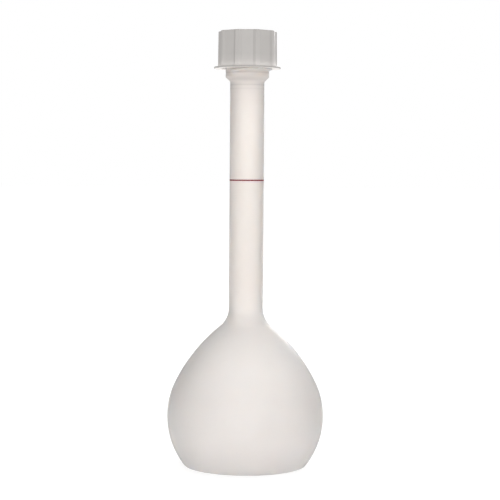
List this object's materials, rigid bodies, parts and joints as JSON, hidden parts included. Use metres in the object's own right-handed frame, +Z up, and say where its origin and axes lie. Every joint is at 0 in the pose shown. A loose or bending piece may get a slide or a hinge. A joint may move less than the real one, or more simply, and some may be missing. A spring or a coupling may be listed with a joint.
{
  "type": "volumetric flask",
  "caption": "Translucent plastic volumetric flask: pear-shaped bulb, long narrow neck with a red graduation ring, and a white ribbed screw cap with a sealing disc.",
  "frame": {"origin": "centre of the base, on the surface that the flask stands on", "axes": "+Z up along the flask's axis, -Y towards the viewer, +X to the viewer's right"},
  "size_m": [0.0808, 0.0808, 0.2237],
  "materials": {
    "flask_plastic": "satin",
    "ring_ink": "satin",
    "cap_plastic": "satin",
    "liner_foam": "matte"
  },
  "bodies": {
    "flask": {"flask_body": "flask_plastic", "graduation_ring": "ring_ink"},
    "liner": {"cap_liner": "liner_foam"},
    "cap": {"screw_cap": "cap_plastic"}
  },
  "joints": [
    {"name": "cap_rise", "type": "slide", "parent": "flask", "child": "liner", "axis": [0, 0, 1], "range_m": [0, 0.0211]},
    {"name": "cap_unscrew", "type": "hinge", "parent": "liner", "child": "cap", "pos_m": [0, 0, 0.2219], "axis": [0, 0, 1], "range_deg": [0, 2160]}
  ],
  "couplings": [
    {"joint": "cap_rise", "follows": "cap_unscrew", "m_per_rad": 0.00055704}
  ]
}
